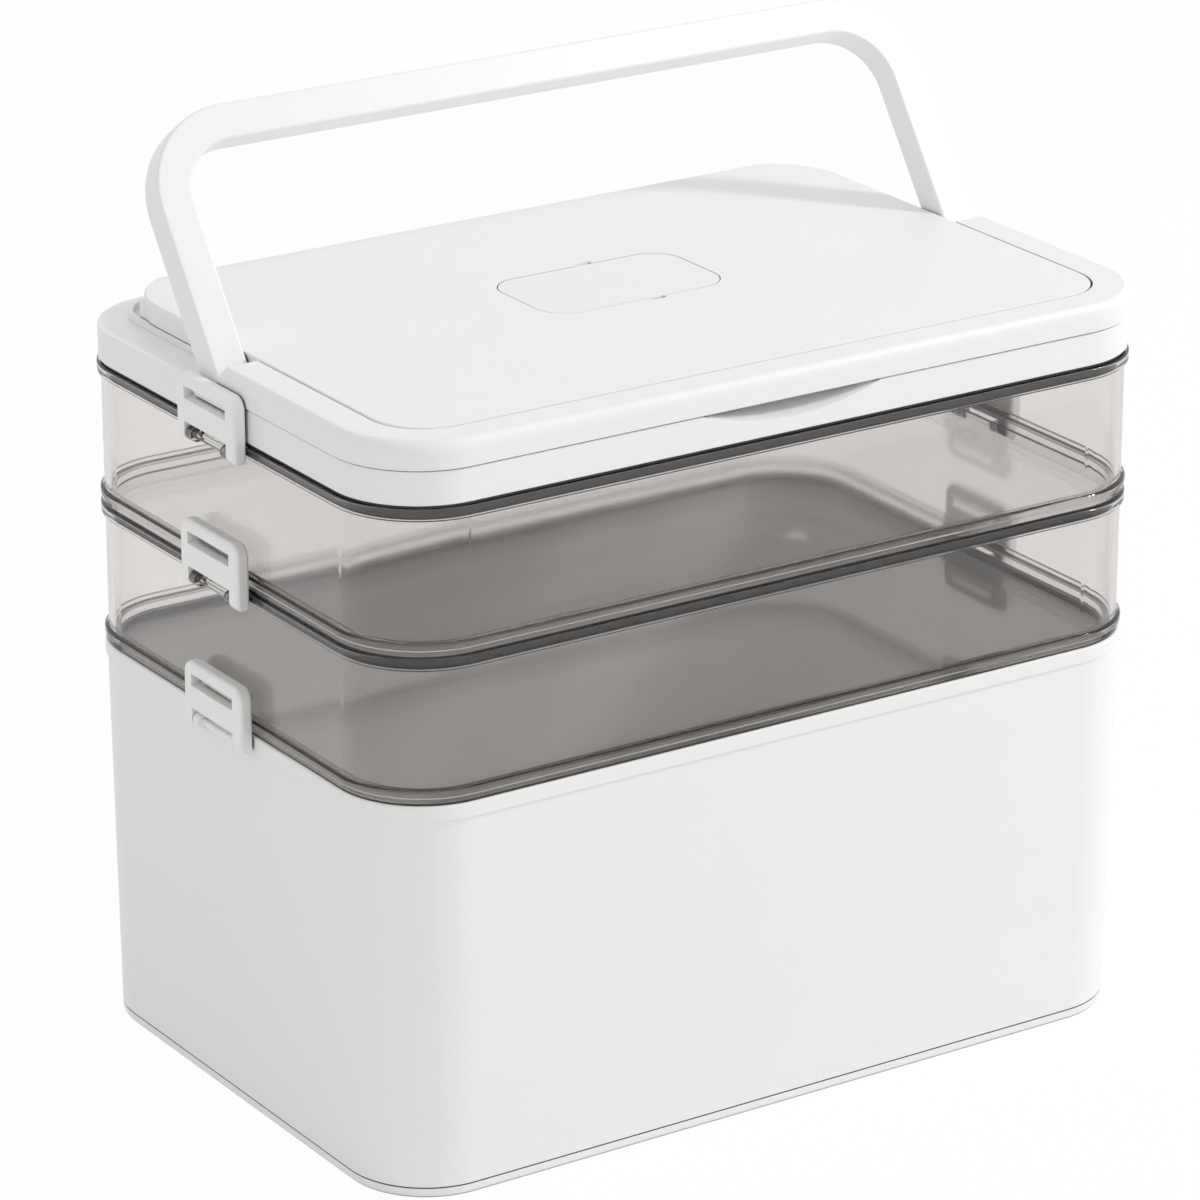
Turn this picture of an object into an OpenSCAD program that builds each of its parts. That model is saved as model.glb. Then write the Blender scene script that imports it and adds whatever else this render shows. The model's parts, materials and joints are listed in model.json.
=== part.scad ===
// Stacking medicine storage box: a deep box, two clear trays, a flip lid with a
// carrying handle, and three hinged snap clips on each side.
// Origin: centre of the footprint on the floor. +Z is up and the front faces -Y.

/* [Plan] */
// Width of the lid ring
ring_w = 330; // [280:1:380]
// Depth of the lid ring, front to back
ring_d = 225.2; // [190:1:270]
// Corner radius of the lid ring in plan
corner_r = 33.6; // [30:0.1:42]

/* [Base pan] */
// Height of the base pan
base_h = 4.3; // [3.8:0.1:7]
// How far the base pan stands inside the lid ring's outline
base_inset = 1.7; // [1.2:0.1:4]
// Thickness of the base pan's web
base_web = 1.8; // [1.2:0.1:2.6]
// Width of the base pan's standing rim
base_rim = 9; // [5:0.5:20]
// Radius of the base pan's lower outer edge
base_edge_r = 1.8; // [0.5:0.1:3]
// Height of the groove between the base pan and the deep box
base_seam_h = 0.6; // [0.3:0.1:1]
// Depth of the groove between the base pan and the deep box
base_seam_d = 0.9; // [0.4:0.1:1.5]

/* [Deep box] */
// Height of the deep box's rim above the floor
box_h = 150; // [110:1:220]
// Wall thickness of the deep box
box_wall = 2.8; // [2:0.1:4]
// Floor thickness of the deep box
box_floor = 2.6; // [1.6:0.1:5]
// How far the deep box's wall leans in from top to bottom
box_draft = 1.4; // [0.5:0.1:3]
// How far the top of the deep box's wall stands inside the lid ring's outline
box_inset = 0.2; // [0.1:0.1:1]

/* [Rims] */
// How far every rim and flange stands out from the lid ring's outline
rim_out = 0.7; // [0.4:0.1:1]
// Height of the deep box's rim band
box_rim_h = 5.6; // [4:0.1:8]
// Height of a tray's rim band
tray_rim_h = 4.6; // [3:0.1:7]
// Edge radius of the rims
rim_r = 1; // [0.3:0.1:1.5]

/* [Trays] */
// Height from one rim to the next
tray_pitch = 54; // [46:1:80]
// Wall thickness of a tray
tray_wall = 2.2; // [1.6:0.1:3]
// How far a tray's wall stands inside the lid ring's outline
tray_inset = 0.8; // [0.5:0.1:1.2]
// Depth of the plug that nests in the rim below
plug_h = 4.5; // [3:0.1:8]
// Side clearance of the plug
plug_gap = 0.4; // [0.2:0.05:0.8]
// Height of the recessed neck above the rim
neck_h = 2.5; // [1.5:0.1:4]
// How far the neck stands inside the rim's face
neck_inset = 1; // [0.6:0.1:2.2]
// Height of a tray's bottom flange
flange_h = 3.2; // [2.4:0.1:5]

/* [Lid ring] */
// Thickness of the gasket under the lid ring
gasket_t = 1; // [0.6:0.1:2]
// Height of the lid ring
ring_h = 12.4; // [10:0.1:18]
// Wall thickness of the lid ring
ring_wall = 2.4; // [1.8:0.1:3]
// Width of the ledge beside the lip
ledge_w = 14.2; // [14.2:0.1:18]
// Width of the ledge behind the flip lid
rear_ledge_w = 8.3; // [7:0.1:12]
// Thickness of the lip round the opening
lip_t = 1.5; // [1:0.1:2.5]
// Height of the lip above the ledge
lip_h = 2.6; // [1.5:0.1:3.5]
// Depth of the bridge under the lid's hinge barrel
bridge_d = 15; // [12:0.5:30]
// Edge radius of the lid ring
ring_edge_r = 0.5; // [0.3:0.1:1]

/* [Finger scoop] */
// Width of the scoop under the lid's front edge
scoop_w = 82.6; // [50:1:120]
// Depth of the scoop at the ring's front face
scoop_h = 6.8; // [5.5:0.1:8.5]
// Slope of the scoop's floor towards the lip
scoop_tilt = 31; // [25:1:40]

/* [Flip lid] */
// Height of the flip lid's deck above the ledge
deck_h = 11; // [9.5:0.1:16]
// Gap under the flip lid's band and round the hinge barrel
lid_gap = 0.3; // [0.15:0.05:0.5]
// How far the deck's side stands inside the lip's outer face
deck_in = 0.6; // [0.4:0.1:1.2]
// How far the deck's front stands ahead of the lip
deck_front = 1.5; // [1:0.1:3]
// Radius of the deck's front corners
deck_front_r = 20; // [12:0.5:28]
// Radius of the deck's rear corners
deck_rear_r = 32; // [20:0.5:40]
// Thickness of the deck and of its skirt
deck_t = 2.4; // [1.8:0.1:3.5]
// Edge radius of the deck
deck_edge_r = 0.8; // [0.3:0.1:1.5]
// Thickness of the tongue that drops inside the lip
tongue_t = 1.8; // [1.2:0.1:2.5]
// Depth of the tongue below the lip's top
tongue_h = 6; // [3:0.1:9]
// Clearance of the tongue inside the lip
tongue_gap = 0.5; // [0.4:0.05:1]
// Thickness of the ribs under the deck
rib_t = 1.6; // [1:0.1:2.5]
// Depth of the ribs under the deck
rib_h = 4.6; // [2:0.1:5]
// Greatest opening of the flip lid in degrees
lid_open = 38; // [20:1:40]

/* [Front band] */
// Width of the shadow seam between the deck and the band
seam_w = 0.8; // [0.2:0.05:1.2]
// Depth of the shadow seam
seam_h = 4; // [1:0.1:5]
// How far the band lies below the deck's top
band_drop = 0.3; // [0:0.1:0.6]
// Width of the band's shoulder
shoulder_w = 2.9; // [1.5:0.1:4]
// Height of the band's shoulder
shoulder_h = 4.8; // [3.5:0.1:6]
// Wall thickness of the band
band_wall = 2.2; // [1.6:0.1:3]
// Gap between the band and the lip
band_lip_gap = 0.4; // [0.3:0.1:1]
// Distance from the handle's pivot forward to the end of the band's arms
arm_end = 12.7; // [11.5:0.1:20]
// Slope of the ends of the band's arms in degrees from upright
arm_bevel = 24.5; // [10:0.5:35]

/* [Deck plate] */
// Width of the inlaid plate
plate_w = 77; // [50:1:120]
// Depth of the inlaid plate, front to back
plate_d = 46; // [30:1:70]
// Corner radius of the inlaid plate
plate_r = 12; // [5:0.5:14]
// Distance of the plate's centre behind the middle of the box
plate_y = 3.4; // [-15:0.5:15]
// Thickness of the inlaid plate
plate_t = 1.4; // [0.8:0.1:1.5]
// Gap round the inlaid plate
plate_gap = 0.4; // [0.15:0.05:0.6]
// Width of a pry notch
pry_w = 6.4; // [4:0.1:12]
// Depth of a pry notch, front to back
pry_d = 2.2; // [1.5:0.1:3]
// Distance of the pry notches to the right of the middle
pry_x = 5.2; // [-20:0.1:20]

/* [Handle] */
// Length of the handle from its pivot to its outer edge
handle_len = 93; // [80:1:93]
// Width of the handle's bar and legs
handle_w = 13.5; // [12.5:0.1:14]
// Thickness of the handle
handle_t = 12; // [11:0.1:12.4]
// Radius of the handle's outer corners
handle_r = 35; // [24:0.5:50]
// Edge radius of the handle
handle_edge_r = 1.1; // [0.6:0.1:4]
// Distance of the handle's pivot behind the middle of the box
pivot_y = 8.9; // [0:0.1:15]
// Tilt of the handle back from upright, on its heel stop, in degrees
handle_tilt = 35; // [20:1:45]
// Gap between the handle and the lip beside it
handle_side_gap = 0.2; // [0.15:0.05:0.4]
// Gap between the handle's foot and the ledge
foot_gap = 0.2; // [0.1:0.05:0.4]
// Thickness of the ear inside the handle's foot
ear_t = 4; // [3:0.1:5]
// Side clearance of an ear in its slot
ear_gap = 0.3; // [0.2:0.05:0.5]
// Front wall of the handle's foot
foot_wall = 1.5; // [1:0.1:2]
// Diameter of the handle's pins
handle_pin_d = 4; // [3:0.1:5]
// How far a handle pin enters the outer cheek
handle_pin_in = 3; // [2:0.1:4]

/* [Lid hinge] */
// Diameter of the lid's hinge pins
lid_pin_d = 3; // [2:0.1:4]
// Length of a lid hinge pin
lid_pin_l = 18; // [12:0.5:24]
// Radius of a lid hinge ear
lid_ear_r = 3.3; // [2.6:0.1:3.4]
// Distance of each lid hinge ear from the deck's side
lid_ear_in = 44.2; // [40:0.1:80]

/* [Clips] */
// Width of a clip
clip_w = 40.4; // [34:0.2:60]
// Height of a clip from its hinge axis
clip_h = 22; // [21:0.1:26]
// Thickness of a clip
clip_t = 5.4; // [5:0.1:6]
// Distance of the clips ahead of the middle of the box
clip_y = 1.2; // [-10:0.1:8]
// Gap between a clip and the rim behind it
clip_gap = 0.3; // [0.2:0.05:0.5]
// Distance of a clip's axis below the rim that carries it
axis_drop = 3.5; // [3:0.1:4]
// Width of a clip's legs
leg_w = 5.7; // [5:0.1:8]
// Height of the notch between the legs above the axis
notch_h = 4.4; // [3.6:0.1:5]
// Radius of a clip's upper corners
clip_corner_r = 5.2; // [3:0.1:7]
// Radius of the ends of a clip's legs
leg_end_r = 1.6; // [0.5:0.1:2.2]
// Radius of a clip's edges
clip_edge_r = 1.6; // [0.5:0.1:2.2]
// Height of the slot's floor above the axis
slot_z = 12.9; // [12:0.1:13.2]
// Height of the slot
slot_h = 4.6; // [4:0.1:5]
// Fall of the slot's floor towards the outside
slot_fall = 0.9; // [0:0.1:1.5]
// Width of the slot
slot_w = 29; // [25:0.5:32]
// Width of the catch lug in the slot
lug_w = 24; // [16:0.5:24.4]
// Distance of the catch lug's face inside the clip's axis
lug_set = 0.2; // [0:0.1:0.6]
// Diameter of the clip pins
clip_pin_d = 2.5; // [2:0.1:3]
// Outer radius of a clip's hinge ears
clip_ear_r = 2.6; // [2:0.1:2.8]
// Thickness of a clip's hinge ears
clip_ear_t = 4; // [3:0.1:6]
// How far a clip pin enters each leg
clip_pin_in = 3.6; // [2:0.1:4.6]

/* [Fits] */
// Radial clearance of every pin in the piece that turns on it
running_gap = 0.05; // [0.02:0.01:0.09]
// Gap between a catch lug and the top of its slot
lug_gap = 0.6; // [0.4:0.1:1]
// Gap between a catch lug and the slot's floor as the clip swings past it
swing_gap = 0.3; // [0.2:0.05:0.4]

/* [Hidden] */
$fn = 64;
eps = 0.01;
past = 5;

white = [0.93, 0.93, 0.92];
plate_white = [0.90, 0.90, 0.89];
smoke = [0.36, 0.32, 0.30, 0.45];
dark = [0.08, 0.08, 0.08];
steel = [0.72, 0.72, 0.74];

// Heights
rim_lower = box_h;
rim_middle = rim_lower + tray_pitch;
rim_upper = rim_middle + tray_pitch;
ring_z = rim_upper + gasket_t;
ledge_z = ring_z + ring_h;
lip_z = ledge_z + lip_h;
deck_z = ledge_z + deck_h;

// Widths measured outwards from the lid ring's outline
bore_in = -tray_inset - tray_wall;
plug_out = bore_in - plug_gap;
plug_in = plug_out - tray_wall;
neck_out = rim_out - neck_inset;

// An outline is [half width, front y, rear y, front corner radius, rear corner radius]
ring_o = [ring_w / 2, -ring_d / 2, ring_d / 2, corner_r, corner_r];
lip_x = ring_w / 2 - ledge_w;
lip_front = -ring_d / 2 + ledge_w;
lip_rear = ring_d / 2 - rear_ledge_w;
lip_r = corner_r - ledge_w;
lip_o = [lip_x, lip_front, lip_rear, lip_r, lip_r];
deck_x = lip_x - deck_in;
deck_o = [deck_x, lip_front - deck_front, lip_rear - lip_t - lid_gap, deck_front_r, deck_rear_r];

// Flip lid hinge: a barrel that fills the deck's height at its rear edge
barrel_r = (deck_z - ledge_z - lid_gap) / 2;
barrel_y = deck_o[2] - barrel_r;
barrel_z = deck_z - barrel_r;
lid_ear_x = deck_x - lid_ear_in;

// Band
band_z = deck_z - band_drop;
shoulder_r = (shoulder_w * shoulder_w + shoulder_h * shoulder_h) / (2 * shoulder_w);

// Handle
leg_x = lip_x + handle_side_gap + handle_w / 2;
pivot_z = ledge_z + foot_gap + handle_t / 2;
handle_ear_r = handle_t / 2 - foot_wall - ear_gap;

// Clips
clip_back = ring_w / 2 + rim_out + clip_gap;
clip_axis_x = clip_back + clip_t / 2;
clip_ear_y = clip_w / 2 - leg_w - clip_ear_t / 2 - ear_gap;
lug_x = clip_axis_x - lug_set;
lug_top = slot_z + slot_h - lug_gap;
lug_low = norm([clip_t / 2, slot_z + slot_fall]) + swing_gap;

// Flat outline, moved inwards by inset
module plan(o, inset = 0) {
    x = o[0] - inset;
    y0 = o[1] + inset;
    y1 = o[2] - inset;
    r0 = o[3] - inset;
    r1 = o[4] - inset;
    translate([-x, y0 + r0]) square([2 * x, y1 - r1 - y0 - r0]);
    translate([-x + r0, y0]) square([2 * (x - r0), r0 + eps]);
    translate([-x + r1, y1 - r1 - eps]) square([2 * (x - r1), r1 + eps]);
    for (side = [-1, 1]) {
        translate([side * (x - r0), y0 + r0]) circle(r0);
        translate([side * (x - r1), y1 - r1]) circle(r1);
    }
}

// Upright slab of an outline
module slab(o, inset, z0, z1) {
    translate([0, 0, z0]) linear_extrude(z1 - z0) plan(o, inset);
}

// Carries a profile round an outline. The profile's x runs outwards and its y is the height.
// With a rear end given, only the front corners and the two arms up to it are made.
module trace(o, arms_to = undef) {
    open = !is_undef(arms_to);
    y0 = o[1] + o[3];
    y1 = open ? arms_to : o[2] - o[4];
    for (side = [0, 1]) mirror([side, 0, 0]) {
        translate([o[0], (y0 + y1) / 2, 0])
            rotate([90, 0, 0]) linear_extrude(y1 - y0, center = true) children();
        translate([o[0] - o[3], y0, 0])
            rotate([0, 0, -90]) rotate_extrude(angle = 90) translate([o[3], 0]) children();
        if (!open) translate([o[0] - o[4], y1, 0])
            rotate_extrude(angle = 90) translate([o[4], 0]) children();
    }
    translate([0, o[1], 0])
        rotate([90, 0, -90]) linear_extrude(2 * (o[0] - o[3]), center = true) children();
    if (!open) translate([0, o[2], 0])
        rotate([90, 0, 90]) linear_extrude(2 * (o[0] - o[4]), center = true) children();
}

// Profile rectangle from x0 to x1 and z0 to z1 with rounded outer corners
module bar(x0, x1, z0, z1, low_r = 0, high_r = 0) {
    difference() {
        translate([x0, z0]) square([x1 - x0, z1 - z0]);
        if (low_r > 0) translate([x1 - low_r, z0 + low_r]) round_off(low_r, -1);
        if (high_r > 0) translate([x1 - high_r, z1 - high_r]) round_off(high_r, 1);
    }
}

// What is cut from a profile's outer corner, above (up = 1) or below (up = -1)
module round_off(r, up) {
    difference() {
        translate([0, up < 0 ? -2 * r : 0]) square(2 * r);
        circle(r);
    }
}

// Prism along X from a profile drawn in y and z
module along_x(x0, x1) {
    translate([x0, 0, 0]) rotate([90, 0, 90]) linear_extrude(x1 - x0) children();
}

// Round bar along X
module rod_x(x0, x1, r) {
    translate([x0, 0, 0]) rotate([0, 90, 0]) cylinder(h = x1 - x0, r = r);
}

// Round bar along Y
module rod_y(y0, y1, r) {
    translate([0, y0, 0]) rotate([-90, 0, 0]) cylinder(h = y1 - y0, r = r);
}

// Hinge ears for the two clips on the rim at height rim, rooted in the wall at offset wall
module clip_ears(rim, wall) {
    for (side = [0, 1]) mirror([side, 0, 0])
        for (end = [-1, 1])
            translate([clip_axis_x, -clip_y + end * clip_ear_y - clip_ear_t / 2, rim - axis_drop]) {
                rod_y(0, clip_ear_t, clip_ear_r);
                root = clip_axis_x - ring_w / 2 - wall;
                translate([-root, 0, -clip_ear_r]) cube([root, clip_ear_t, 2 * clip_ear_r]);
            }
}

// Bores for the clip pins at height rim. The pins are pressed into the ears.
module clip_ear_bores(rim) {
    for (side = [0, 1]) mirror([side, 0, 0])
        translate([clip_axis_x, -clip_y, rim - axis_drop]) rod_y(-clip_w / 2, clip_w / 2, clip_pin_d / 2);
}

// Catch lugs for the two clips hinged on the rim at height rim, rooted at offset wall
module catch_lugs(rim, wall, top = lug_top) {
    base = ring_w / 2 + wall;
    for (side = [0, 1]) mirror([side, 0, 0])
        translate([base, -clip_y - lug_w / 2, rim - axis_drop + lug_low])
            cube([lug_x - base, lug_w, top - lug_low]);
}

// Shallow pan that the deep box stands on
module base_pan() {
    out = -base_inset;
    color(white) {
        trace(ring_o) {
            bar(out - base_rim, out, 0, base_h - base_seam_h, low_r = base_edge_r);
            bar(out - base_rim, out - base_seam_d, 0, base_h);
        }
        slab(ring_o, base_inset + base_rim / 2, base_h - base_web, base_h);
    }
}

// Deep box with drafted walls, a floor and a rim band
module bottom_box() {
    foot = -box_inset - box_draft;
    crease = box_h - box_rim_h;
    color(white) difference() {
        union() {
            trace(ring_o) {
                polygon([
                    [foot, base_h], [-box_inset, crease], [-box_inset, crease + eps],
                    [-box_inset - box_wall, crease + eps], [-box_inset - box_wall, crease],
                    [foot - box_wall, base_h]
                ]);
                bar(bore_in, rim_out, crease, box_h, low_r = rim_r / 2, high_r = rim_r);
            }
            slab(ring_o, -foot + box_wall / 2, base_h, base_h + box_floor);
            clip_ears(rim_lower, -box_inset - box_wall / 2);
        }
        clip_ear_bores(rim_lower);
    }
}

// Clear tray that nests on the rim at height seat
module tray(seat) {
    top = seat + tray_pitch;
    flange_z = seat + neck_h;
    color(smoke) difference() {
        union() {
            trace(ring_o) {
                bar(plug_in, plug_out, seat - plug_h, flange_z + tray_wall);
                bar(plug_in, neck_out, seat, flange_z + eps);
                bar(plug_in, -tray_inset, flange_z, flange_z + tray_wall);
                bar(bore_in, -tray_inset, flange_z, top - tray_rim_h + eps);
                bar(bore_in, rim_out, flange_z, flange_z + flange_h, low_r = rim_r, high_r = rim_r);
                bar(bore_in, rim_out, top - tray_rim_h, top, low_r = rim_r, high_r = rim_r);
            }
            slab(ring_o, -plug_out + tray_wall / 2, seat - plug_h, seat - plug_h + tray_wall);
            clip_ears(top, -tray_inset - tray_wall / 2);
            catch_lugs(seat, -tray_inset - tray_wall / 2);
        }
        clip_ear_bores(top);
    }
}

module middle_tray() { tray(rim_lower); }
module upper_tray() { tray(rim_middle); }

// Dark seal between the upper tray's rim and the lid ring, keyed into the ring's groove
module lid_gasket() {
    color(dark) trace(ring_o) {
        bar(plug_out, -rim_r / 2, rim_upper, ring_z);
        bar(plug_out, -ring_wall, ring_z - eps, ring_z + ring_wall);
    }
}

// Lid ring: skirt, nesting plug, ledge, lip, hinge bridge, ears, catch lugs and scoop
module lid_frame() {
    color(white) difference() {
        union() {
            trace(ring_o) {
                bar(-ring_wall, 0, ring_z, ledge_z, low_r = ring_edge_r, high_r = ring_edge_r);
                bar(plug_in, plug_out, rim_upper - plug_h, ledge_z - eps);
                bar(plug_in, -ring_wall + eps, ring_z + ring_wall, ledge_z - eps);
                bar(-rear_ledge_w, -ring_wall, ledge_z - ring_wall, ledge_z);
            }
            ledge();
            trace(lip_o) bar(-lip_t, 0, ledge_z - ring_wall, lip_z);
            scoop_block();
            handle_ears();
            lid_ears();
            catch_lugs(rim_upper, -ring_wall / 2, ledge_z - rim_upper + axis_drop);
        }
        scoop();
        for (side = [0, 1]) mirror([side, 0, 0]) {
            translate([0, pivot_y, pivot_z])
                rod_x(lip_x, ring_w / 2, handle_pin_d / 2 + running_gap);
            translate([0, barrel_y, barrel_z])
                rod_x(lid_ear_x - ear_t, lid_ear_x + ear_t, lid_pin_d / 2 + running_gap);
        }
    }
}

// Ledge plate with its opening, and the bridge across the rear of the opening
module ledge() {
    difference() {
        slab(ring_o, ring_wall / 2, ledge_z - ring_wall, ledge_z);
        difference() {
            slab(lip_o, lip_t / 2, ledge_z - ring_wall - past, ledge_z + past);
            translate([-lip_x, lip_rear - lip_t - bridge_d, ledge_z - ring_wall - 2 * past])
                cube([2 * lip_x, bridge_d + past, ring_wall + 4 * past]);
        }
    }
}

module scoop_block() {
    w = scoop_w + 2 * ring_wall;
    h = scoop_h + ring_wall;
    translate([-w / 2, ring_o[1] + ring_wall / 2, ledge_z - h])
        cube([w, ledge_w - ring_wall / 2 + lip_t, h]);
}

// A round scoop that rises from the ring's front face to nothing at the lip
module scoop() {
    r = (scoop_w * scoop_w / 4 + scoop_h * scoop_h) / (2 * scoop_h);
    translate([0, -ring_d / 2, ledge_z - scoop_h]) rotate([scoop_tilt, 0, 0])
        translate([0, 0, r]) rod_y(-past, ledge_w, r);
}

module handle_ears() {
    for (side = [0, 1]) mirror([side, 0, 0]) translate([leg_x, pivot_y, pivot_z]) {
        rod_x(-ear_t / 2, ear_t / 2, handle_ear_r);
        drop = pivot_z - ledge_z + eps;
        translate([-ear_t / 2, -handle_ear_r, -drop]) cube([ear_t, 2 * handle_ear_r, drop]);
    }
}

module lid_ears() {
    for (side = [0, 1]) mirror([side, 0, 0]) translate([lid_ear_x, barrel_y, barrel_z]) {
        rod_x(-ear_t / 2, ear_t / 2, lid_ear_r);
        drop = barrel_z - ledge_z + eps;
        translate([-ear_t / 2, -lid_ear_r, -drop]) cube([ear_t, 2 * lid_ear_r, drop]);
    }
}

// Deck of the flip lid with its skirt, tongue, ribs and hinge barrel
module lid_deck() {
    low = lip_z + lid_gap;
    color(white) difference() {
        union() {
            difference() {
                intersection() {
                    slab(deck_o, 0, ledge_z, deck_z);
                    union() {
                        translate([-deck_x, deck_o[1], low])
                            cube([2 * deck_x, barrel_y - deck_o[1], deck_z - low]);
                        translate([0, barrel_y, barrel_z]) rod_x(-deck_x, deck_x, barrel_r);
                    }
                }
                intersection() {
                    slab(deck_o, deck_t, ledge_z - past, deck_z - deck_t);
                    translate([-deck_x, deck_o[1], ledge_z - past])
                        cube([2 * deck_x, barrel_y - barrel_r - deck_o[1] + deck_t / 4, deck_h + past]);
                }
            }
            tongue();
            ribs();
        }
        deck_edge();
        plate_pocket();
        lid_ear_slots();
        for (side = [0, 1]) mirror([side, 0, 0])
            translate([0, barrel_y, barrel_z]) rod_x(lid_ear_x - lid_pin_l / 2, deck_x, lid_pin_d / 2);
    }
}

// Wall that drops inside the lip along the front and sides
module tongue() {
    inner = lip_t + tongue_gap;
    o = [lip_o[0] - inner, lip_o[1] + inner, lip_o[2] - inner, lip_r - inner, lip_r - inner];
    trace(o, arms_to = lip_rear - max(lip_r, lip_t + bridge_d + lid_gap))
        bar(-tongue_t, 0, lip_z - tongue_h, deck_z - deck_t + eps);
}

// Ribs under the deck: three along it and two across
module ribs() {
    x = deck_x - deck_t;
    front = deck_o[1] + deck_t;
    back = barrel_y - barrel_r;
    z = deck_z - deck_t - rib_h;
    for (i = [-1:1])
        translate([i * x / 2 - rib_t / 2, front - eps, z])
            cube([rib_t, back - front + deck_t / 2, rib_h + eps]);
    for (i = [1, 2])
        translate([-x - eps, front + i * (back - front) / 3 - rib_t / 2, z])
            cube([2 * (x + eps), rib_t, rib_h + eps]);
}

// Rounding of the deck's upper edge, front and sides
module deck_edge() {
    trace(deck_o, arms_to = deck_o[2] - deck_rear_r)
        translate([-deck_edge_r, deck_z - deck_edge_r]) round_off(deck_edge_r, 1);
    for (side = [0, 1]) mirror([side, 0, 0])
        translate([deck_x - deck_rear_r, deck_o[2] - deck_rear_r, 0])
            rotate_extrude(angle = 90)
                translate([deck_rear_r - deck_edge_r, deck_z - deck_edge_r]) round_off(deck_edge_r, 1);
}

// Outline of the inlaid plate
function plate_o(grow) = [
    plate_w / 2 + grow, plate_y - plate_d / 2 - grow, plate_y + plate_d / 2 + grow,
    plate_r + grow, plate_r + grow
];

// Pocket for the plate, with a pry notch at its front and rear edges
module plate_pocket() {
    slab(plate_o(plate_gap), 0, deck_z - plate_t, deck_z + past);
    for (end = [-1, 1])
        translate([pry_x, plate_y + end * (plate_d / 2 + plate_gap), deck_z])
            cube([pry_w, 2 * pry_d, 2 * plate_t], center = true);
}

// Slots in the barrel that swing past the lid's hinge ears
module lid_ear_slots() {
    r = lid_ear_r + ear_gap;
    half = ear_t / 2 + ear_gap;
    for (side = [0, 1]) mirror([side, 0, 0]) translate([lid_ear_x, barrel_y, barrel_z]) {
        rod_x(-half, half, r);
        for (swing = [0, lid_open])
            rotate([swing, 0, 0]) translate([-half, -r, -2 * barrel_r])
                cube([2 * half, 2 * r, 2 * barrel_r]);
    }
}

// Shoulder band round the flip lid's front and sides, hollow below
module lid_front_rim() {
    low = ledge_z + lid_gap;
    shelf = lip_z + lid_gap;
    inner = band_wall - (deck_o[1] - ring_o[1]);
    top = band_z - band_wall;
    slant = (deck_z - low) * tan(arm_bevel);
    end = pivot_y - arm_end + slant;
    color(white) difference() {
        trace(ring_o, arms_to = end) difference() {
            bar(-ledge_w - band_wall, rim_out, low, band_z, low_r = ring_edge_r);
            shoulder_cut();
        }
        slab(deck_o, 0, shelf, deck_z + past);
        slab(deck_o, -seam_w, band_z - seam_h, deck_z + past);
        slab(lip_o, -band_lip_gap, low - past, shelf + eps);
        trace(ring_o, arms_to = end - 2 * band_wall - slant)
            bar(inner, rim_out - band_wall, low - past, top, high_r = shoulder_h - band_wall);
        arm_bevels(low);
    }
}

// What the shoulder's arc cuts from the band's outer corner, leaving a crease along its top
module shoulder_cut() {
    translate([rim_out - shoulder_r, band_z - shoulder_h]) difference() {
        square(2 * shoulder_r);
        circle(shoulder_r);
    }
}

// Slanted cut across the ends of the band's arms
module arm_bevels(low) {
    top = pivot_y - arm_end;
    run = deck_z - low;
    along_x(-ring_w, ring_w) polygon([
        [top - past * tan(arm_bevel), deck_z + past],
        [top + (run + past) * tan(arm_bevel), low - past],
        [top + 2 * run + past, low - past],
        [top + 2 * run + past, deck_z + past]
    ]);
}

// Bare inlaid plate
module deck_plate() {
    color(plate_white) slab(plate_o(0), 0, deck_z - plate_t, deck_z);
}

// Cross-section of the handle, centred, with rounded edges
module handle_section() {
    x = handle_w / 2 - handle_edge_r;
    y = handle_t / 2 - handle_edge_r;
    square([handle_w, 2 * y], center = true);
    square([2 * x, handle_t], center = true);
    for (i = [-1, 1], j = [-1, 1]) translate([i * x, j * y]) circle(handle_edge_r);
}

// Side outline of a foot about its pivot: square toe in front, heel flat on the ledge when tilted back
module foot_outline() {
    half = handle_t / 2;
    heel = -half / cos(handle_tilt) + half * tan(handle_tilt);
    circle(half);
    translate([-half, -half]) square([half, half]);
    translate([-half, -eps]) square([handle_t, half]);
    polygon([
        [0, 0], [half * sin(handle_tilt), -half * cos(handle_tilt)], [half, heel], [half, 0]
    ]);
}

// One-piece carrying handle with forked feet
module handle() {
    bend_x = leg_x + handle_w / 2 - handle_r;
    bend_z = handle_len - handle_r;
    color(white) translate([0, pivot_y, pivot_z]) rotate([-handle_tilt, 0, 0]) difference() {
        union() {
            for (side = [0, 1]) mirror([side, 0, 0]) {
                translate([leg_x, 0, 0]) linear_extrude(bend_z) handle_section();
                translate([bend_x, 0, bend_z]) rotate([90, 0, 0])
                    rotate_extrude(angle = 90) translate([handle_r - handle_w / 2, 0]) handle_section();
                intersection() {
                    translate([leg_x, 0, -handle_t]) linear_extrude(2 * handle_t) handle_section();
                    along_x(leg_x - handle_w, leg_x + handle_w) foot_outline();
                }
            }
            translate([0, 0, handle_len - handle_w / 2]) rotate([0, 90, 0])
                linear_extrude(2 * bend_x, center = true) rotate(90) rotate(90) handle_section();
        }
        for (side = [0, 1]) mirror([side, 0, 0]) {
            pocket = ear_t / 2 + ear_gap;
            front = handle_t / 2 - foot_wall;
            translate([leg_x - pocket, -front, -handle_t])
                cube([2 * pocket, 2 * handle_t, handle_t + front]);
            rod_x(leg_x - handle_w, leg_x + pocket + handle_pin_in + ear_gap, handle_pin_d / 2);
        }
    }
}

// Steel pin of the handle, flush with the inner cheek
module handle_pin(side) {
    start = leg_x - handle_w / 2 + handle_side_gap;
    end = leg_x + ear_t / 2 + ear_gap + handle_pin_in;
    color(steel) mirror([side, 0, 0]) translate([0, pivot_y, pivot_z])
        rotate([-handle_tilt, 0, 0]) rod_x(start, end, handle_pin_d / 2);
}

module handle_pin_left() { handle_pin(1); }
module handle_pin_right() { handle_pin(0); }

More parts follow.
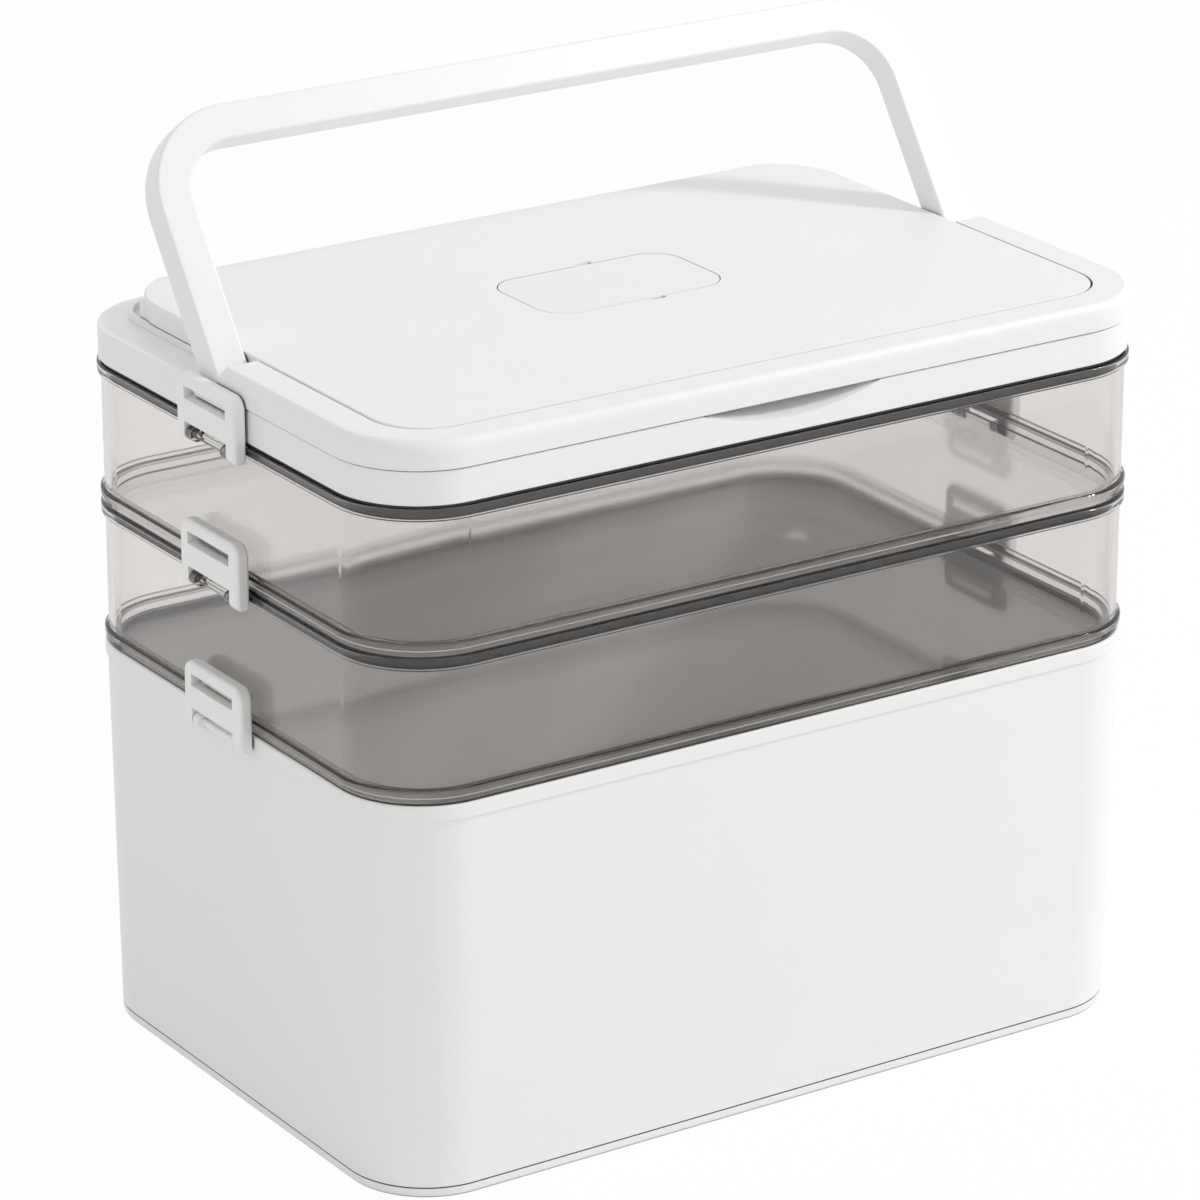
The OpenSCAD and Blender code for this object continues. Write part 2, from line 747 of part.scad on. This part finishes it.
// Steel pin of the flip lid
module lid_pin(side) {
    color(steel) mirror([side, 0, 0]) translate([0, barrel_y, barrel_z])
        rod_x(lid_ear_x - lid_pin_l / 2, lid_ear_x + lid_pin_l / 2, lid_pin_d / 2);
}

module lid_pin_left() { lid_pin(1); }
module lid_pin_right() { lid_pin(0); }

// Plate of a clip about its axis with its outer edges rounded
module clip_plate() {
    half = clip_t / 2;
    x = clip_w / 2 - clip_edge_r;
    y = clip_corner_r - clip_h;
    top = clip_w / 2 - clip_corner_r;
    rotate([-90, 0, 90]) {
        trace([clip_w / 2, -clip_h, 0, clip_corner_r, clip_corner_r], half)
            bar(-clip_edge_r, 0, -half, half, clip_edge_r, clip_edge_r);
        linear_extrude(clip_t, center = true) {
            translate([-x, y]) square([2 * x, half - y]);
            translate([-top, clip_edge_r - clip_h]) square([2 * top, clip_h]);
            for (side = [-1, 1]) translate([side * top, y]) circle(clip_corner_r - clip_edge_r);
        }
    }
}

// Front view of a clip about its axis, x to the side and y up: a plain top and two round-ended legs
module clip_face() {
    half = clip_w / 2;
    low = -clip_t / 2;
    translate([-half, notch_h]) square([clip_w, clip_h - notch_h]);
    for (side = [-1, 1]) translate([side * (half - leg_w / 2), low]) {
        translate([-leg_w / 2, leg_end_r]) square([leg_w, notch_h + eps - low - leg_end_r]);
        translate([leg_end_r - leg_w / 2, 0]) square([leg_w - 2 * leg_end_r, notch_h - low]);
        for (i = [-1, 1]) translate([i * (leg_w / 2 - leg_end_r), leg_end_r]) circle(leg_end_r);
    }
}

// Side view of a clip about its axis, round at its hinge
module clip_side() {
    circle(clip_t / 2);
    translate([-clip_t / 2, 0]) square([clip_t, clip_h]);
}

// Snap clip hinged on the rim at height rim
module clip(side, rim) {
    color(white) mirror([side, 0, 0]) translate([clip_axis_x, -clip_y, rim - axis_drop]) difference() {
        intersection() {
            clip_plate();
            along_x(-clip_t, clip_t) clip_face();
            rotate([90, 0, 0]) linear_extrude(2 * clip_w, center = true) clip_side();
        }
        rotate([90, 0, 0]) linear_extrude(slot_w, center = true) polygon([
            [-clip_t, slot_z + slot_fall], [-clip_t / 2, slot_z + slot_fall], [clip_t / 2, slot_z],
            [clip_t, slot_z], [clip_t, slot_z + slot_h], [-clip_t, slot_z + slot_h]
        ]);
        bore = clip_w / 2 - leg_w + clip_pin_in;
        rod_y(-bore, bore, clip_pin_d / 2 + running_gap);
    }
}

module clip_left_lower() { clip(1, rim_lower); }
module clip_left_middle() { clip(1, rim_middle); }
module clip_left_upper() { clip(1, rim_upper); }
module clip_right_lower() { clip(0, rim_lower); }
module clip_right_middle() { clip(0, rim_middle); }
module clip_right_upper() { clip(0, rim_upper); }

// Plastic pin of a clip, pressed into the rim's ears and free in the clip's legs
module clip_pin(side, rim) {
    half = clip_w / 2 - leg_w + clip_pin_in - ear_gap;
    color(rim == rim_lower ? white : smoke) mirror([side, 0, 0])
        translate([clip_axis_x, -clip_y, rim - axis_drop]) rod_y(-half, half, clip_pin_d / 2);
}

module clip_pin_left_lower() { clip_pin(1, rim_lower); }
module clip_pin_left_middle() { clip_pin(1, rim_middle); }
module clip_pin_left_upper() { clip_pin(1, rim_upper); }
module clip_pin_right_lower() { clip_pin(0, rim_lower); }
module clip_pin_right_middle() { clip_pin(0, rim_middle); }
module clip_pin_right_upper() { clip_pin(0, rim_upper); }

base_pan();
bottom_box();
middle_tray();
upper_tray();
lid_gasket();
lid_frame();
lid_deck();
lid_front_rim();
deck_plate();
lid_pin_left();
lid_pin_right();
handle();
handle_pin_left();
handle_pin_right();
clip_left_lower();
clip_left_middle();
clip_left_upper();
clip_right_lower();
clip_right_middle();
clip_right_upper();
clip_pin_left_lower();
clip_pin_left_middle();
clip_pin_left_upper();
clip_pin_right_lower();
clip_pin_right_middle();
clip_pin_right_upper();
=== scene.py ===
import json
from math import radians

import bmesh
import bpy
from mathutils import Matrix, Vector

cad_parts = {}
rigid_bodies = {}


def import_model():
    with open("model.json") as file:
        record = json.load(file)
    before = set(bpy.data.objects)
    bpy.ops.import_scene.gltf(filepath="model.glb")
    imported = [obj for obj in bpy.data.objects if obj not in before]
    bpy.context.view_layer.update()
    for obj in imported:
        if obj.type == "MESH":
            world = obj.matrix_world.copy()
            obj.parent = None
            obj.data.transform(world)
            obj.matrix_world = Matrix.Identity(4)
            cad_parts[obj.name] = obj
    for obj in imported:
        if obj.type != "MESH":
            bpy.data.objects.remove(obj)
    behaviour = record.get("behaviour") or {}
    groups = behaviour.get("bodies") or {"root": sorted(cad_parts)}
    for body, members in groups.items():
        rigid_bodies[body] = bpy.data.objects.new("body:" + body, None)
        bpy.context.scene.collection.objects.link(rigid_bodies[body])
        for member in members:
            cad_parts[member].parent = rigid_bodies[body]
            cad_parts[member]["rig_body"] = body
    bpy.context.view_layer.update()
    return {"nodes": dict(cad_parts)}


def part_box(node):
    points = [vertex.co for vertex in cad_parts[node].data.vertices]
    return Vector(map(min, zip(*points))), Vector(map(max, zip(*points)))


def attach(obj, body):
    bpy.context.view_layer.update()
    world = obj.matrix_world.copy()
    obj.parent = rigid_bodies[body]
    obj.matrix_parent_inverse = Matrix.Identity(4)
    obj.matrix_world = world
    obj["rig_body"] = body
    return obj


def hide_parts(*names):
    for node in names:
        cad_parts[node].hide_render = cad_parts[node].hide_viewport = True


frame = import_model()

scene = bpy.context.scene
scene.view_settings.view_transform = "Standard"


# Studio: a plain pale floor under a white surround, and one camera a little above the lid that looks
# at the front left corner. The floor stays near white to the eye and keeps the box's soft shadow.
# The surround is a little brighter on the right, and one lamp there casts the handle's shadow.
EYE = (-1.0971, -1.6621, 0.9147)
TARGET = (-0.0043, 0.0028, 0.1606)
LENS_MM = 173.04
SENSOR_MM = 36.0
FLOOR_HALF = 3.0
FLOOR_CORNERS = ((-1, -1), (1, -1), (1, 1), (-1, 1))
FLOOR_TONE = (0.93, 0.93, 0.925, 1)
FLOOR_GLOW = 0.95
PURE_WHITE = (1, 1, 1, 1)
WHITE_STRENGTH = 1.0
FILL_SIDE = (0.80, 0.0, -0.60)
FILL_LOW = 0.70
FILL_HIGH = 0.88
FACING_AWAY = -1.0
KEY_SPOT = (1.80, -1.10, 1.80)
KEY_AIM = (0.0, 0.0, 0.25)
KEY_SIZE = 0.3
KEY_WATTS = 22.0


def aimed(name, data, spot, aim):
    """A camera or a lamp that stands at one point and looks at another."""
    made = bpy.data.objects.new(name, data)
    scene.collection.objects.link(made)
    made.location = spot
    made.rotation_euler = (Vector(aim) - Vector(spot)).to_track_quat("-Z", "Y").to_euler()
    return made


def new_material(name):
    """An empty node material and its node tree."""
    material = bpy.data.materials.new(name)
    material.use_nodes = True
    material.node_tree.nodes.clear()
    return material, material.node_tree


def add_node(tree, kind, **settings):
    """One node, with its inputs set by name and its properties by attribute."""
    made = tree.nodes.new(kind)
    for key, value in settings.items():
        if key in made.inputs:
            made.inputs[key].default_value = value
        else:
            setattr(made, key, value)
    return made


def spread(tree, value, low, high, start=0.0, end=1.0):
    """A value that runs from start to end, made to run from low to high."""
    made = add_node(tree, "ShaderNodeMapRange")
    for name, limit in (("From Min", start), ("From Max", end), ("To Min", low), ("To Max", high)):
        made.inputs[name].default_value = limit
    tree.links.new(value, made.inputs["Value"])
    return made.outputs[0]


def blended(tree, share, first, second):
    """Two shaders mixed: the first where the share is nought, and the second where it is one."""
    made = add_node(tree, "ShaderNodeMixShader")
    for socket, source in zip(made.inputs, (share, first, second)):
        tree.links.new(source, socket)
    return made.outputs[0]


def show_surface(tree, kind, shader):
    """The tree's output node, with the finished surface in it."""
    made = add_node(tree, kind)
    tree.links.new(shader, made.inputs["Surface"])
    return made


def seen_directly(tree):
    """One where a ray comes from the eye or by way of gloss or clear plastic, and else nought."""
    path = add_node(tree, "ShaderNodeLightPath")
    seen = path.outputs["Is Camera Ray"]
    for name in ("Is Glossy Ray", "Is Transmission Ray"):
        either = add_node(tree, "ShaderNodeMath", operation="MAXIMUM")
        tree.links.new(seen, either.inputs[0])
        tree.links.new(path.outputs[name], either.inputs[1])
        seen = either.outputs[0]
    return seen


camera_data = bpy.data.cameras.new("studio_camera")
camera_data.lens = LENS_MM
camera_data.sensor_width = SENSOR_MM
scene.camera = aimed("studio_camera", camera_data, EYE, TARGET)

floor_mesh = bpy.data.meshes.new("studio_floor")
floor_mesh.from_pydata([(x * FLOOR_HALF, y * FLOOR_HALF, 0) for x, y in FLOOR_CORNERS], [], [(0, 1, 2, 3)])
floor = bpy.data.objects.new("studio_floor", floor_mesh)
scene.collection.objects.link(floor)
floor_material, tree = new_material("pale_floor")
matt = add_node(tree, "ShaderNodeBsdfDiffuse", Color=FLOOR_TONE)
glow = add_node(tree, "ShaderNodeEmission", Color=PURE_WHITE, Strength=WHITE_STRENGTH)
share = add_node(tree, "ShaderNodeMath", operation="MULTIPLY")
share.inputs[1].default_value = FLOOR_GLOW
tree.links.new(seen_directly(tree), share.inputs[0])
lit_floor = blended(tree, share.outputs[0], matt.outputs[0], glow.outputs[0])
show_surface(tree, "ShaderNodeOutputMaterial", lit_floor)
floor_mesh.materials.append(floor_material)

world = bpy.data.worlds.new("white_surround")
scene.world = world
world.use_nodes = True
tree = world.node_tree
tree.nodes.clear()
heading = add_node(tree, "ShaderNodeTexCoord").outputs["Generated"]
toward = add_node(tree, "ShaderNodeVectorMath", operation="DOT_PRODUCT")
toward.inputs[1].default_value = FILL_SIDE
tree.links.new(heading, toward.inputs[0])
soft_sky = add_node(tree, "ShaderNodeBackground", Color=PURE_WHITE)
strength = spread(tree, toward.outputs["Value"], FILL_LOW, FILL_HIGH, start=FACING_AWAY)
tree.links.new(strength, soft_sky.inputs["Strength"])
white_sky = add_node(tree, "ShaderNodeBackground", Color=PURE_WHITE, Strength=WHITE_STRENGTH)
sky = blended(tree, seen_directly(tree), soft_sky.outputs[0], white_sky.outputs[0])
show_surface(tree, "ShaderNodeOutputWorld", sky)

lamp_data = bpy.data.lights.new("key_lamp", "AREA")
lamp_data.energy = KEY_WATTS
lamp_data.size = KEY_SIZE
aimed("key_lamp", lamp_data, KEY_SPOT, KEY_AIM)


# Base pan and deep box: the pan and the tall box are moulded in one opaque white plastic with a fine
# satin grain, and the box stands in the pan. Narrow seams and slots get painted shade: an occlusion
# test darkens the base colour where little light gets in. The moulding's sharp edges have a very small
# radius.
BODY_FINISH = {
    "tone": (0.90, 0.90, 0.89), "shade": (0.875, 0.875, 0.865),
    "rough_low": 0.36, "rough_high": 0.46, "grain": 0.35, "wave": 0.12,
}
CLOUD_PATTERN = {"Scale": 14.0, "Detail": 2.0, "Roughness": 0.55}
GRAIN_PATTERN = {"Scale": 2600.0, "Detail": 1.0, "Roughness": 0.5}
GRAIN_DEPTH = 0.00002
WAVE_PATTERN = {"Scale": 26.0, "Detail": 1.0, "Roughness": 0.4}
WAVE_DEPTH = 0.0006
WHITE_IOR = 1.49
# Painted shade in seams: the near-black tone, the occlusion reach and rays, and the occlusion values where
# the darkening is full and where it ends.
PAINTED_SHADE_TONE = (0.06, 0.06, 0.06)
PAINTED_SHADE_REACH = 0.0018
PAINTED_SHADE_RAYS = 6
PAINTED_SHADE_DARKEST = 0.18
PAINTED_SHADE_NONE = 0.47
MIX_FIRST, MIX_SECOND, MIX_RESULT = 6, 7, 2
MERGE_GAP = 0.000002
FLAT_ANGLE = radians(0.5)
SHARP_ANGLE = radians(40)
EDGE_STEPS = 2
BODY_EDGE = 0.0002


def on_piece(tree):
    """Coordinates that are fixed to the piece."""
    return add_node(tree, "ShaderNodeTexCoord").outputs["Object"]


def noise(tree, place, pattern):
    """A noise of one pattern at a place."""
    made = add_node(tree, "ShaderNodeTexNoise", **pattern)
    tree.links.new(place, made.inputs["Vector"])
    return made.outputs["Fac"]


def mixed_tone(tree, share, first, second):
    """Two tones mixed, each a plain tone or another node's output."""
    made = add_node(tree, "ShaderNodeMix", data_type="RGBA")
    tree.links.new(share, made.inputs[0])
    for place, tone in ((MIX_FIRST, first), (MIX_SECOND, second)):
        if isinstance(tone, tuple):
            made.inputs[place].default_value = (*tone, 1)
        else:
            tree.links.new(tone, made.inputs[place])
    return made.outputs[MIX_RESULT]


def relief(tree, height, strength, depth, under=None):
    """A fine relief in the surface, on top of another one if there is one."""
    made = add_node(tree, "ShaderNodeBump", Strength=strength, Distance=depth)
    tree.links.new(height, made.inputs["Height"])
    if under is not None:
        tree.links.new(under, made.inputs["Normal"])
    return made.outputs["Normal"]


def skin(tree, gloss, normal, **settings):
    """The surface itself, with its gloss and its relief."""
    made = add_node(tree, "ShaderNodeBsdfPrincipled", **settings)
    tree.links.new(gloss, made.inputs["Roughness"])
    tree.links.new(normal, made.inputs["Normal"])
    return made


def satin_white(name, tone, shade, rough_low, rough_high, grain, wave):
    """Opaque white moulding: a fine spark-eroded grain over a faint waviness, with patchy gloss, and
    painted shade that darkens the colour in narrow crevices.
    """
    material, tree = new_material(name)
    place = on_piece(tree)
    cloud = noise(tree, place, CLOUD_PATTERN)
    # Painted shade: an occlusion test over a short reach darkens the base colour towards a near-black tone
    # in narrow seams and slots.
    shade_occlusion = add_node(tree, "ShaderNodeAmbientOcclusion", Distance=PAINTED_SHADE_REACH, samples=PAINTED_SHADE_RAYS)
    unshaded_share = spread(tree, shade_occlusion.outputs["AO"], 0.0, 1.0, start=PAINTED_SHADE_DARKEST, end=PAINTED_SHADE_NONE)
    swell = relief(tree, noise(tree, place, WAVE_PATTERN), wave, WAVE_DEPTH)
    pits = relief(tree, noise(tree, place, GRAIN_PATTERN), grain, GRAIN_DEPTH, under=swell)
    plastic = skin(tree, spread(tree, cloud, rough_low, rough_high), pits, IOR=WHITE_IOR)
    painted_shade_colour = mixed_tone(tree, unshaded_share, PAINTED_SHADE_TONE, mixed_tone(tree, cloud, shade, tone))
    tree.links.new(painted_shade_colour, plastic.inputs["Base Color"])
    show_surface(tree, "ShaderNodeOutputMaterial", plastic.outputs[0])
    return material


def finish_with(material, *names):
    """Gives CAD nodes one finish."""
    for name in names:
        slots = frame["nodes"][name].data.materials
        slots.clear()
        slots.append(material)


def ease_edges(name, radius):
    """A merged copy of a CAD node whose sharp edges have a small moulded radius, in its place."""
    source = frame["nodes"][name]
    shell = bmesh.new()
    shell.from_mesh(source.data)
    bmesh.ops.remove_doubles(shell, verts=shell.verts, dist=MERGE_GAP)
    bmesh.ops.dissolve_limit(shell, angle_limit=FLAT_ANGLE, verts=shell.verts, edges=shell.edges)
    for face in shell.faces:
        face.smooth = True
    mesh = bpy.data.meshes.new(name + "_moulded")
    shell.to_mesh(mesh)
    shell.free()
    mesh.materials.clear()
    mesh.materials.append(source.data.materials[0])
    piece = bpy.data.objects.new(name + "_moulded", mesh)
    scene.collection.objects.link(piece)
    edge = piece.modifiers.new("edge", "BEVEL")
    edge.width = radius
    edge.segments = EDGE_STEPS
    edge.limit_method = "ANGLE"
    edge.angle_limit = SHARP_ANGLE
    edge.miter_outer = "MITER_ARC"
    even = piece.modifiers.new("even", "WEIGHTED_NORMAL")
    even.keep_sharp = True
    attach(piece, source["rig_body"])
    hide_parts(name)


def mould(material, radius, *names):
    """Gives CAD nodes one finish, and puts copies with eased edges in their place."""
    finish_with(material, *names)
    for name in names:
        ease_edges(name, radius)


body_white = satin_white("satin_body_white", **BODY_FINISH)
mould(body_white, BODY_EDGE, "base_pan", "bottom_box")


# Clear trays: two equal trays moulded in clear plastic with a warm smoke tint. Light that runs
# through the thick rims and corners comes out darker than light that crosses the thin walls. The
# hinge bars of the middle and upper clips are of the same plastic as the trays that carry them.
SMOKE_TINT = (0.50, 0.455, 0.43, 1)
SMOKE_DENSITY = 96
SMOKE_SKIN = (0.97, 0.965, 0.96, 1)
SMOKE_IOR = 1.46
SMOKE_ROUGH_LOW = 0.02
SMOKE_ROUGH_HIGH = 0.06
SHADOW_TINT = (0.94, 0.94, 0.94, 1)
FULLY_CLEAR = 1.0
FLOW_PATTERN = {"Scale": 18.0, "Detail": 2.0, "Roughness": 0.5}
FLOW_STRENGTH = 0.08
FLOW_DEPTH = 0.0005
HAZE_PATTERN = {"Scale": 60.0, "Detail": 3.0, "Roughness": 0.6}
SIDES = ("left", "right")
TRAY_LEVELS = ("middle", "upper")


def smoke_clear(name):
    """Clear tinted plastic with polished faces, faint flow waviness and absorption by thickness."""
    material, tree = new_material(name)
    place = on_piece(tree)
    swell = relief(tree, noise(tree, place, FLOW_PATTERN), FLOW_STRENGTH, FLOW_DEPTH)
    gloss = spread(tree, noise(tree, place, HAZE_PATTERN), SMOKE_ROUGH_LOW, SMOKE_ROUGH_HIGH)
    plastic = skin(tree, gloss, swell, IOR=SMOKE_IOR)
    plastic.inputs["Base Color"].default_value = SMOKE_SKIN
    plastic.inputs["Transmission Weight"].default_value = FULLY_CLEAR
    smoke = add_node(tree, "ShaderNodeVolumeAbsorption", Color=SMOKE_TINT, Density=SMOKE_DENSITY)
    in_shadow = add_node(tree, "ShaderNodeLightPath").outputs["Is Shadow Ray"]
    pale = add_node(tree, "ShaderNodeBsdfTransparent", Color=SHADOW_TINT)
    either = blended(tree, in_shadow, plastic.outputs[0], pale.outputs[0])
    out = show_surface(tree, "ShaderNodeOutputMaterial", either)
    tree.links.new(smoke.outputs[0], out.inputs["Volume"])
    return material


tray_smoke = smoke_clear("clear_smoke")
finish_with(tray_smoke, "middle_tray", "upper_tray")
finish_with(tray_smoke, *(f"clip_pin_{side}_{level}" for side in SIDES for level in TRAY_LEVELS))


# Seal: one endless strip of soft dark rubber. Its flat lip is pressed between the upper tray's rim
# and the lid ring, and its key is pushed up into a groove inside the ring.
SEAL_SIZES = {
    "Ring width": 0.330, "Ring depth": 0.2252, "Corner radius": 0.0336,
    "Lip inset": 0.00195, "Lip width": 0.0029, "Lip height": 0.001, "Lip edge": 0.00035,
    "Key inset": 0.0029, "Key width": 0.001, "Key height": 0.0034, "Key edge": 0.0002,
}
SEAL_STEPS = 16
RUBBER_TONE = (0.035, 0.034, 0.033, 1)
RUBBER_IOR = 1.5
RUBBER_ROUGH_LOW = 0.6
RUBBER_ROUGH_HIGH = 0.8
PORE_PATTERN = {"Scale": 1800.0, "Detail": 2.0}
PORE_STRENGTH = 0.5
PORE_DEPTH = 0.00003


def dark_rubber(name):
    """Matt rubber with a fine pore."""
    material, tree = new_material(name)
    pore = noise(tree, on_piece(tree), PORE_PATTERN)
    pits = relief(tree, pore, PORE_STRENGTH, PORE_DEPTH)
    gloss = spread(tree, pore, RUBBER_ROUGH_LOW, RUBBER_ROUGH_HIGH)
    rubber = skin(tree, gloss, pits, IOR=RUBBER_IOR)
    rubber.inputs["Base Color"].default_value = RUBBER_TONE
    show_surface(tree, "ShaderNodeOutputMaterial", rubber.outputs[0])
    return material


def swept_strip(tree, given, part):
    """Nodes that carry a rounded bar round the ring's outline, standing on the seal's foot."""
    def worked(operation, first, second):
        made = add_node(tree, "ShaderNodeMath", operation=operation)
        for socket, value in zip(made.inputs, (first, second)):
            if isinstance(value, float):
                socket.default_value = value
            else:
                tree.links.new(value, socket)
        return made.outputs[0]

    def rounded(width, height, radius):
        shape = add_node(tree, "GeometryNodeCurvePrimitiveQuadrilateral")
        tree.links.new(width, shape.inputs["Width"])
        tree.links.new(height, shape.inputs["Height"])
        turn = add_node(tree, "GeometryNodeFilletCurve", mode="POLY", Count=SEAL_STEPS)
        tree.links.new(shape.outputs[0], turn.inputs["Curve"])
        tree.links.new(radius, turn.inputs["Radius"])
        return turn.outputs[0]

    inset = given[part + " inset"]
    both = worked("MULTIPLY", inset, 2.0)
    route = rounded(worked("SUBTRACT", given["Ring width"], both),
                    worked("SUBTRACT", given["Ring depth"], both),
                    worked("SUBTRACT", given["Corner radius"], inset))
    profile = rounded(given[part + " width"], given[part + " height"], given[part + " edge"])
    strip = add_node(tree, "GeometryNodeCurveToMesh")
    tree.links.new(route, strip.inputs["Curve"])
    tree.links.new(profile, strip.inputs["Profile Curve"])
    lift = add_node(tree, "ShaderNodeCombineXYZ")
    tree.links.new(worked("MULTIPLY", given[part + " height"], 0.5), lift.inputs["Z"])
    stand = add_node(tree, "GeometryNodeTransform")
    tree.links.new(strip.outputs[0], stand.inputs["Geometry"])
    tree.links.new(lift.outputs[0], stand.inputs["Translation"])
    return stand.outputs[0]


seal_rubber = dark_rubber("seal_dark_rubber")
finish_with(seal_rubber, "lid_gasket")
tree = bpy.data.node_groups.new("seal_strip", "GeometryNodeTree")
tree.interface.new_socket(name="Geometry", in_out="OUTPUT", socket_type="NodeSocketGeometry")
sockets = {}
for name in SEAL_SIZES:
    sockets[name] = tree.interface.new_socket(name=name, in_out="INPUT", socket_type="NodeSocketFloat")
given = add_node(tree, "NodeGroupInput").outputs
joined = add_node(tree, "GeometryNodeJoinGeometry")
for part in ("Lip", "Key"):
    tree.links.new(swept_strip(tree, given, part), joined.inputs[0])
real = add_node(tree, "GeometryNodeRealizeInstances")
coat = add_node(tree, "GeometryNodeSetMaterial", Material=seal_rubber)
out = add_node(tree, "NodeGroupOutput")
tree.links.new(joined.outputs[0], real.inputs[0])
tree.links.new(real.outputs[0], coat.inputs["Geometry"])
tree.links.new(coat.outputs[0], out.inputs[0])
seal = bpy.data.objects.new("lid_seal", bpy.data.meshes.new("lid_seal"))
scene.collection.objects.link(seal)
strip = seal.modifiers.new("strip", "NODES")
strip.node_group = tree
for name, size in SEAL_SIZES.items():
    strip[sockets[name].identifier] = size
solved = bpy.context.evaluated_depsgraph_get()
seal.data = bpy.data.meshes.new_from_object(seal.evaluated_get(solved))
seal.modifiers.clear()
seal.data.transform(Matrix.Translation((0, 0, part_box("lid_gasket")[0].z)))
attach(seal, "box")
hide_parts("lid_gasket")


# Lid: ring, deck and shoulder band are moulded in the same white plastic as the box. The band is
# snapped round the deck's front, and the parting lines between them are crisp.
LID_EDGE = 0.00012
mould(body_white, LID_EDGE, "lid_frame", "lid_deck", "lid_front_rim")


# Deck plate: a bare oblong inlay in a slightly finer satin white. It is pressed into the deck, with
# a narrow groove round it.
PLATE_FINISH = {
    "tone": (0.89, 0.89, 0.88), "shade": (0.875, 0.875, 0.865),
    "rough_low": 0.42, "rough_high": 0.5, "grain": 0.5, "wave": 0.04,
}
PLATE_EDGE = 0.00012
mould(satin_white("satin_plate_white", **PLATE_FINISH), PLATE_EDGE, "deck_plate")


# Handle: one stiff U-shaped moulding with a smoother and slightly glossier skin than the lid's. Its
# forked feet turn on steel pins in the ears of the lid ring.
HANDLE_FINISH = {
    "tone": (0.905, 0.905, 0.9), "shade": (0.885, 0.885, 0.875),
    "rough_low": 0.3, "rough_high": 0.38, "grain": 0.2, "wave": 0.1,
}
HANDLE_EDGE = 0.0003
mould(satin_white("smooth_handle_white", **HANDLE_FINISH), HANDLE_EDGE, "handle")


# Snap clips: six equal white clips in a smooth hard plastic that is a touch glossier than the lid.
# Each turns on a bar between two ears and snaps over a lug. The lower clips' bars are white too.
CLIP_FINISH = {
    "tone": (0.90, 0.90, 0.89), "shade": (0.88, 0.88, 0.87),
    "rough_low": 0.24, "rough_high": 0.32, "grain": 0.15, "wave": 0.05,
}
CLIP_EDGE = 0.0004
CLIP_LEVELS = ("lower", "middle", "upper")
clip_white = satin_white("smooth_clip_white", **CLIP_FINISH)
mould(clip_white, CLIP_EDGE, *(f"clip_{side}_{level}" for side in SIDES for level in CLIP_LEVELS))
finish_with(clip_white, *(f"clip_pin_{side}_lower" for side in SIDES))


# Pins: plain ground steel pins of the flip lid and the handle. They lie out of sight in their bores,
# and have fine grinding marks round them.
STEEL_TONE = (0.72, 0.72, 0.74, 1)
STEEL_ROUGH_LOW = 0.2
STEEL_ROUGH_HIGH = 0.38
ALL_METAL = 1.0
MARK_PATTERN = {"Scale": 600.0, "Detail": 3.0}
MARK_STRETCH = (8, 1, 1)
MARK_STRENGTH = 0.3
MARK_DEPTH = 0.00002


def ground_steel(name):
    """Steel with fine grinding marks that run round a pin along X."""
    material, tree = new_material(name)
    stretched = add_node(tree, "ShaderNodeMapping", Scale=MARK_STRETCH)
    tree.links.new(on_piece(tree), stretched.inputs["Vector"])
    marks = noise(tree, stretched.outputs[0], MARK_PATTERN)
    lines = relief(tree, marks, MARK_STRENGTH, MARK_DEPTH)
    gloss = spread(tree, marks, STEEL_ROUGH_LOW, STEEL_ROUGH_HIGH)
    steel = skin(tree, gloss, lines, Metallic=ALL_METAL)
    steel.inputs["Base Color"].default_value = STEEL_TONE
    show_surface(tree, "ShaderNodeOutputMaterial", steel.outputs[0])
    return material


pin_steel = ground_steel("pin_steel_along_x")
finish_with(pin_steel, "lid_pin_left", "lid_pin_right", "handle_pin_left", "handle_pin_right")
